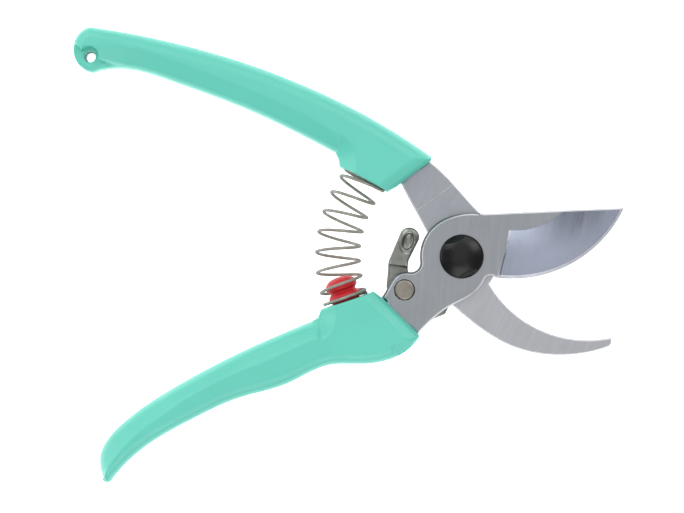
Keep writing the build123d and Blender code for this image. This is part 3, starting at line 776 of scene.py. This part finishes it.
def blade_mark(points):
    """Material of each place on the front face: flat, hollow grind, honed bevel with a painted highlight,
    a painted highlight on the rim and the run-out, painted shade on the wider chamfer of the latch side,
    and a painted shadow ring in the rivet's gap.
    """
    reach = np.hypot(*(points - GRIND_CENTRE).T)
    ground = (past_line(points, *SHOULDER) > 0) & (reach > GRIND_TOP_R)
    honed = ground & (reach > GRIND_R - BEVEL_W)
    from_rim = gap(points, blade_dull)[0]
    # painted shade on the outer part of the wider chamfer
    rolled_and_shaded = shaded(points) & (from_rim < ROLLED - BRIGHT_W)
    # painted highlight on the rim and on the grind's run-out
    rim = np.where(shaded(points), (from_rim < ROLLED) & ~rolled_and_shaded, from_rim < CHAMFER)
    run_out = ground & (past_line(points, *SHOULDER) < RUN_OUT_W)
    # painted shadow: a dark ring in the gap round the rivet
    gap_shadow = np.abs(np.hypot(*(points - LATCH_AT).T) - 0.5 * (RIVET_POCKET_R + RIVET_EDGE_R)) < 0.25
    return np.select([gap_shadow, rolled_and_shaded, rim | run_out, honed, ground], [4, 5, 3, 2, 1], 0)


blade_loops = section("cutting_blade", 8.05)
blade_rim = resample(blade_loops[0], 0.4)
blade_dull = stretch(blade_rim, (50.6, 15.1), (10.4, -6.7))
grind_rows = [
    circle(GRIND_CENTRE, r, int(24 * r))
    for r in (GRIND_TOP_R, GRIND_R - BEVEL_W - 0.15, GRIND_R - BEVEL_W, GRIND_R - 0.5, GRIND_R - 0.25)
]
shoulder_rows = [spaced(np.array(SHOULDER) + (shift, 0), 0.3) for shift in (0.0, 0.35, 0.7, 1.05)]
pocket_rows = [circle(LATCH_AT, RIVET_POCKET_R + shift, 100) for shift in (-0.02, 0.02)]
cutting_blade = slab(
    "cutting_blade_ground", blade_loops, blade_height, level(BLADE_REAR), 0.4,
    (0.12, 0.3, CHAMFER, ROLLED), [*grind_rows, *shoulder_rows, *pocket_rows], blade_mark,
)
finished(
    cutting_blade, "cutting_arm", "blade_steel", ["cutting_blade"],
    front_steel, hollow_steel, honed_and_highlight_steel, highlight_rim_steel, gap_shadow_black, shaded_edge_steel,
)

# ---- hook blade ---------------------------------------------------------------------------------
STEP_LINE = ((-13.9, 14.2), (-2.4, 22.4))
STEP_BEYOND = (-0.58, 0.81)
NECK_FROM_Y = 10
HOOK_RIM_W = 0.4
STEP_W = 0.35


def hook_height(points):
    """Front face of the hook blade, a little higher on the neck beyond the step line."""
    beyond = past_line(points, *STEP_LINE)
    inner = gap(points, hook_loops[0], True)[0]
    neck = np.clip(beyond / STEP_W, 0, 1) * STEP_RISE
    on_neck = (points[:, 0] > -30) & (points[:, 1] > NECK_FROM_Y)
    return chamfered(HOOK_FRONT + np.where(on_neck, neck, 0), inner, HOOK_RIM_W)


def hook_mark(points):
    """Material of each place on the front face: hook, a painted highlight on the rims and the step line,
    neck.
    """
    beyond = past_line(points, *STEP_LINE)
    rim = gap(points, hook_loops[0], True)[0] < HOOK_RIM_W
    step = (beyond > -0.1) & (beyond < STEP_W)
    step &= (points[:, 0] > -15) & (points[:, 1] > NECK_FROM_Y) & (points[:, 1] < 23)
    return np.select([rim | step, points[:, 1] > 0], [1, 2], 0)


hook_loops = section("hook_blade", 5.5)
step_lines = [np.array(STEP_LINE) + np.array(STEP_BEYOND) * shift for shift in (-0.1, 0.0, STEP_W)]
step_rows = [spaced(line, 0.3) for line in step_lines]
hook_blade = slab(
    "hook_blade_ground", hook_loops, hook_height, level(HOOK_REAR), 0.5, (0.12, HOOK_RIM_W),
    step_rows, hook_mark,
)
finished(hook_blade, "hook_arm", "steel_plate", ["hook_blade"], hook_steel, highlight_rim_steel, neck_steel)

# ---- pivot --------------------------------------------------------------------------------------
HEAD_R = 6.8
HEAD_TURN = 22.7
HEAD_EDGE, HEAD_DOME = 0.9, 1.7  # height of the head's rim, and of the dome above it
FLAT_AT = 4.9  # the spanner flats start this far from the axis
SHANK_R = 3.0


def head_height(points):
    """Domed head of the bolt, its rim rounded and its two sides cut to sloping flats."""
    reach = np.hypot(*points.T)
    ball = (HEAD_R**2 + HEAD_DOME**2) / (2 * HEAD_DOME)
    fall = ball - np.sqrt(ball**2 - np.clip(reach, 0, HEAD_R) ** 2)
    dome = BLADE_FRONT + HEAD_EDGE + HEAD_DOME - fall - rounding(HEAD_R - reach, 0.5)
    turn = math.radians(HEAD_TURN + 90)
    out = np.abs(points @ np.array((math.cos(turn), math.sin(turn))))
    flat = BLADE_FRONT + HEAD_DOME - (out - FLAT_AT)
    return np.maximum(soft_min(dome, flat, 0.08), BLADE_FRONT + 0.05)


def shank_foot(points):
    """Underside of the bolt: the head's seat, and the end of the shank."""
    reach = np.hypot(*points.T)
    return np.where(reach < SHANK_R, np.clip(reach - SHANK_R + 0.4, 0, 0.4), BLADE_FRONT)


head_rings = [circle((0, 0), r, int(16 * r)) for r in (SHANK_R - 0.4, SHANK_R - 0.01, SHANK_R + 0.01, 6.4)]
flat_rows = []
for side in (-1, 1):
    turn = math.radians(HEAD_TURN + 90 * side)
    out = FLAT_AT * np.array((math.cos(turn), math.sin(turn)))
    run = FLAT_AT * np.array((-math.sin(turn), math.cos(turn)))
    flat_rows.append(spaced(np.array([out - run, out + run]), 0.25))
bolt = slab(
    "pivot_bolt_black", [circle((0, 0), HEAD_R, 160)], head_height, shank_foot, 0.3,
    (0.03, 0.1, 0.2, 0.35, 0.5), head_rings + flat_rows,
)
finished(bolt, "cutting_arm", "black_bolt", ["pivot_bolt"], bolt_black)

for node in ("pivot_bush", "thrust_washer", "lock_washer", "pivot_nut"):
    plated(node, nut_zinc)

# ---- thumb latch --------------------------------------------------------------------------------
LATCH_Z, TAB_Z = 6.15, 9.0  # rear faces of the arm and of the thumb tab
LATCH_T = 1.8
JOG_AT = (-19.5, -2.6)  # middle of the upper edge of the bend between them
JOG_TURN = 7.0
JOG_RUN = 0.6
DIMPLE, DIMPLE_TURN, DIMPLE_R = (-16.5, 4.6), -17.0, (1.75, 2.75)


def past_jog(points):
    """How far a point lies beyond the bend's upper edge, towards the tab."""
    turn = math.radians(JOG_TURN)
    return (points - JOG_AT) @ np.array((math.sin(turn), math.cos(turn)))


def latch_sheet(points):
    """Front face of the bent sheet, before its edges and its dimple."""
    return np.interp(past_jog(points), (-JOG_RUN, 0), (LATCH_Z + LATCH_T, TAB_Z + LATCH_T))


def dimple_reach(points):
    """How far a point lies from the dimple's centre, 1 on its rim."""
    turn = math.radians(DIMPLE_TURN)
    offset = points - DIMPLE
    across = offset @ np.array((math.cos(turn), math.sin(turn)))
    along = offset @ np.array((-math.sin(turn), math.cos(turn)))
    return np.hypot(across / DIMPLE_R[0], along / DIMPLE_R[1])


def latch_front(points):
    """Front face of the latch: rolled rims, a raised lip and the hollow of the dimple."""
    reach = dimple_reach(points)
    lip = 0.3 * np.exp(-(((reach - 1.2) / 0.2) ** 2)) - 0.3
    hollow = 0.9 * np.sqrt(np.clip(1 - reach**2, 0, 1))
    rim = gap(points, latch_loops[0], True)[0]
    on_tab = np.clip(past_jog(points) / 1.5, 0, 1)
    return latch_sheet(points) + lip * on_tab - hollow - rounding(rim, 0.7)


def latch_rear(points):
    """Rear face of the latch, parallel to the front; the bend keeps the sheet's thickness."""
    slope = (TAB_Z - LATCH_Z) / JOG_RUN
    shift = LATCH_T / math.sin(math.atan(slope)) - LATCH_T / slope
    return np.interp(past_jog(points), (shift - JOG_RUN, shift), (LATCH_Z, TAB_Z))


latch_loops = [loop for loop in plan("latch_lever") if abs(area(loop)) < 11 or abs(area(loop)) > 100]
jog_turn = math.radians(JOG_TURN)
jog_along = 6 * np.array((math.cos(jog_turn), -math.sin(jog_turn)))
jog_up = np.array((math.sin(jog_turn), math.cos(jog_turn)))
jog_rows = [
    spaced(np.array([JOG_AT + jog_up * rise - jog_along, JOG_AT + jog_up * rise + jog_along]), 0.2)
    for rise in (-JOG_RUN, -JOG_RUN / 2, 0.0, 0.91, 1.21, 1.51)
]
dimple_turn = math.radians(DIMPLE_TURN)
dimple_across = (math.cos(dimple_turn), math.sin(dimple_turn))
dimple_along = (-math.sin(dimple_turn), math.cos(dimple_turn))
dimple_rows = []
for share in (0.35, 0.7, 0.9, 1.0, 1.12, 1.3):
    ring = circle((0, 0), 1.0, 40) * share * DIMPLE_R
    dimple_rows.append(ring @ np.array([dimple_across, dimple_along]) + DIMPLE)
latch = slab(
    "latch_lever_bent", latch_loops, latch_front, latch_rear, 0.3, (0.05, 0.15, 0.3, 0.45),
    jog_rows + dimple_rows,
)
finished(latch, "latch", "latch_steel", ["latch_lever"], latch_steel)

RIVET_PROFILE = [
    (0.0, 11.0), (2.4, 11.0), (2.75, 10.97), (2.95, 10.86), (3.02, 10.6), (3.05, 9.8), (1.7, 9.8),
    (1.7, 5.5), (3.4, 5.5), (3.3, 5.1), (2.9, 4.65), (2.2, 4.28), (1.2, 4.06), (0.0, 4.0),
]


def turned(name, profile, centre, sides=72):
    """A turned solid about an upright axis: (radius, height) points from its top to its foot."""
    verts = [(*centre, profile[0][1])]
    for radius, height in profile[1:-1]:
        verts += [(x, y, height) for x, y in circle(centre, radius, sides)]
    verts.append((*centre, profile[-1][1]))
    rings = len(profile) - 2
    faces = [[0, 1 + k, 1 + (k + 1) % sides] for k in range(sides)]
    for ring in range(rings - 1):
        for k in range(sides):
            a, b = 1 + ring * sides + k, 1 + ring * sides + (k + 1) % sides
            faces.append([a, a + sides, b + sides, b])
    last = 1 + (rings - 1) * sides
    faces += [[len(verts) - 1, last + (k + 1) % sides, last + k] for k in range(sides)]
    return mesh_from(name, verts, faces, smooth_below=40)


rivet = turned("latch_rivet_formed", RIVET_PROFILE, LATCH_AT)
finished(rivet, "cutting_arm", "rivet_steel", ["latch_rivet"], rivet_steel)
plated("latch_washer", rivet_steel)

# ---- spring -------------------------------------------------------------------------------------
WIRE_R = 0.48
COIL_R = 6.7
TURNS = 9
# after so many turns: direction of the coil's middle from the pivot, and the coil's lean, in degrees
WINDING = ((0, 1.15, 8, 9), (140.7, 142.4, 198.9, 200.4))
LEAN = ((0, 1, 2.5, 6.5, 8, 9), (11.4, 9.9, 0, 0, -0.5, -2.0))
TURN_STEPS, WIRE_SIDES = 40, 12


def spring_place(turn):
    """Direction of the coil's middle from the pivot, in degrees, this many turns from the top."""
    return float(np.interp(turn, *WINDING))


def arc_point(turn):
    """Middle of the coil, in mm."""
    direction = math.radians(spring_place(turn))
    return np.array((ARC_R * math.cos(direction), ARC_R * math.sin(direction), MID))


def wire_point(turn):
    """Middle of the wire, in mm."""
    direction = spring_place(turn)
    middle, lean = math.radians(direction), math.radians(direction + np.interp(turn, *LEAN))
    around = math.pi - 2 * math.pi * turn
    reach = COIL_R * math.cos(around)
    return np.array((
        ARC_R * math.cos(middle) + reach * math.cos(lean),
        ARC_R * math.sin(middle) + reach * math.sin(lean),
        MID + COIL_R * math.sin(around),
    ))


def wire_tube():
    """The spring's wire as a tube with closed, slightly rounded ends, and each ring's turn."""
    count = TURNS * TURN_STEPS
    turns = [i / TURN_STEPS for i in range(count + 1)]
    line = np.array([wire_point(turn) for turn in turns])
    ahead = np.gradient(line, axis=0)
    ahead /= np.linalg.norm(ahead, axis=1)[:, None]
    verts, rings = [], []
    ends = [(-0.45 * WIRE_R, 0.55), (-0.2 * WIRE_R, 0.88)]  # shift along the wire, share of its radius
    stations = [(0, back, share) for back, share in ends] + [(i, 0.0, 1.0) for i in range(count + 1)]
    stations += [(count, -back, share) for back, share in reversed(ends)]
    for index, shift, share in stations:
        toward = line[index] - arc_point(turns[index])
        side = toward - ahead[index] * (toward @ ahead[index])
        side /= np.linalg.norm(side)
        up = np.cross(ahead[index], side)
        middle = line[index] + ahead[index] * shift
        for k in range(WIRE_SIDES):
            angle = 2 * math.pi * k / WIRE_SIDES
            outward = math.cos(angle) * side + math.sin(angle) * up
            verts.append(middle + WIRE_R * share * outward)
            rings.append(turns[index])
    faces = []
    for ring in range(len(stations) - 1):
        for k in range(WIRE_SIDES):
            a, b = ring * WIRE_SIDES + k, ring * WIRE_SIDES + (k + 1) % WIRE_SIDES
            faces.append([a, b, b + WIRE_SIDES, a + WIRE_SIDES])
    last = (len(stations) - 1) * WIRE_SIDES
    faces.append(list(range(WIRE_SIDES))[::-1])
    faces.append([last + k for k in range(WIRE_SIDES)])
    return verts, faces, rings


spring_verts, spring_faces, spring_turns = wire_tube()
spring = mesh_from("return_spring_wire", spring_verts, spring_faces, smooth_below=50)
spring.data.materials.append(wire_steel)
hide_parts("return_spring")
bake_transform(spring)

# ---- spring cushion -----------------------------------------------------------------------------
CUSHION_BODY = [  # its dome and its two ridges, joined by a smooth curve
    (0.0, 7.8), (1.4, 7.72), (2.8, 7.42), (3.9, 6.85), (4.6, 6.15), (4.92, 5.3), (4.93, 4.6),
    (4.62, 4.0), (4.12, 3.62), (4.03, 3.3), (4.12, 2.98), (4.62, 2.55), (4.93, 1.95), (4.95, 1.3),
    (4.72, 0.62), (4.15, 0.02),
]
CUSHION_STEM = [(3.0, -0.02), (2.5, -0.05), (2.5, -3.7), (2.2, -4.0), (0.0, -4.0)]

cushion_profile = [tuple(point) for point in smooth_line(CUSHION_BODY, 0.25)] + CUSHION_STEM
cushion = lathe("spring_cushion_rubber", cushion_profile, cushion_at, cushion_axis)
finished(cushion, "cutting_arm", "cushion_red", ["spring_cushion"], cushion_red)

# ---- floor, light and camera --------------------------------------------------------------------
FLOOR_HALF, FLOOR_Z = 6.0, -0.0004
CENTRE_X = -0.0369  # of the picture
VIEW_HEIGHT, VIEW_WIDTH = 0.6, 0.212
LAMP_AIM = (-0.04, 0, 0)
LAMPS = (  # name, place, size, power
    ("key right", (0.25, 0.8, 0.75), 0.6, 1.7),
    ("key left", (-0.5, 0.7, 0.75), 0.6, 3.2),
    ("fill", (0.05, -0.7, 0.7), 0.7, 3.2),
    ("side", (-0.95, 0.1, 0.4), 0.6, 1.8),
    ("front", (0.6, 0.45, 0.75), 0.4, 1.6),
    ("top", (-0.04, 0.1, 1.3), 1.0, 2.2),
)
SKY = 0.34


def pale_floor():
    """A plain near-white ground under the snips."""
    mesh = bpy.data.meshes.new("floor")
    corners = [(x * FLOOR_HALF, y * FLOOR_HALF, 0) for x, y in ((-1, -1), (1, -1), (1, 1), (-1, 1))]
    mesh.from_pydata(corners, [], [(0, 1, 2, 3)])
    floor = bpy.data.objects.new("floor", mesh)
    floor.location.z = FLOOR_Z
    bpy.context.scene.collection.objects.link(floor)
    made = Finish("floor_white", (0.9, 0.9, 0.9, 1.0), 0.0, 0.9, Emission_Strength=1.0)
    made.shader.inputs["Emission Color"].default_value = (1, 1, 1, 1)
    made.shader.inputs["Specular IOR Level"].default_value = 0.1
    mesh.materials.append(made.material)


def lamp(name, place, size, power):
    """A square soft light that faces the snips."""
    data = bpy.data.lights.new(name, "AREA")
    data.shape, data.size, data.energy = "SQUARE", size, power
    made = bpy.data.objects.new(name, data)
    made.location = place
    made.rotation_euler = (Vector(LAMP_AIM) - Vector(place)).to_track_quat("-Z", "Y").to_euler()
    bpy.context.scene.collection.objects.link(made)


def camera():
    """Straight above the middle of the picture, far enough for the photograph's mild perspective."""
    data = bpy.data.cameras.new("camera")
    made = bpy.data.objects.new("camera", data)
    data.sensor_width = 36
    data.lens = data.sensor_width * VIEW_HEIGHT / VIEW_WIDTH
    data.clip_start, data.clip_end = 0.01, 50
    made.location = (CENTRE_X, 0.0, MID * MM + VIEW_HEIGHT)
    bpy.context.scene.collection.objects.link(made)
    bpy.context.scene.camera = made


pale_floor()
for settings in LAMPS:
    lamp(*settings)
world = bpy.data.worlds.new("studio")
world.use_nodes = True
sky = world.node_tree.nodes["Background"]
sky.inputs["Color"].default_value = (1, 1, 1, 1)
sky.inputs["Strength"].default_value = SKY
bpy.context.scene.world = world
bpy.context.scene.view_settings.view_transform = "Standard"
camera()
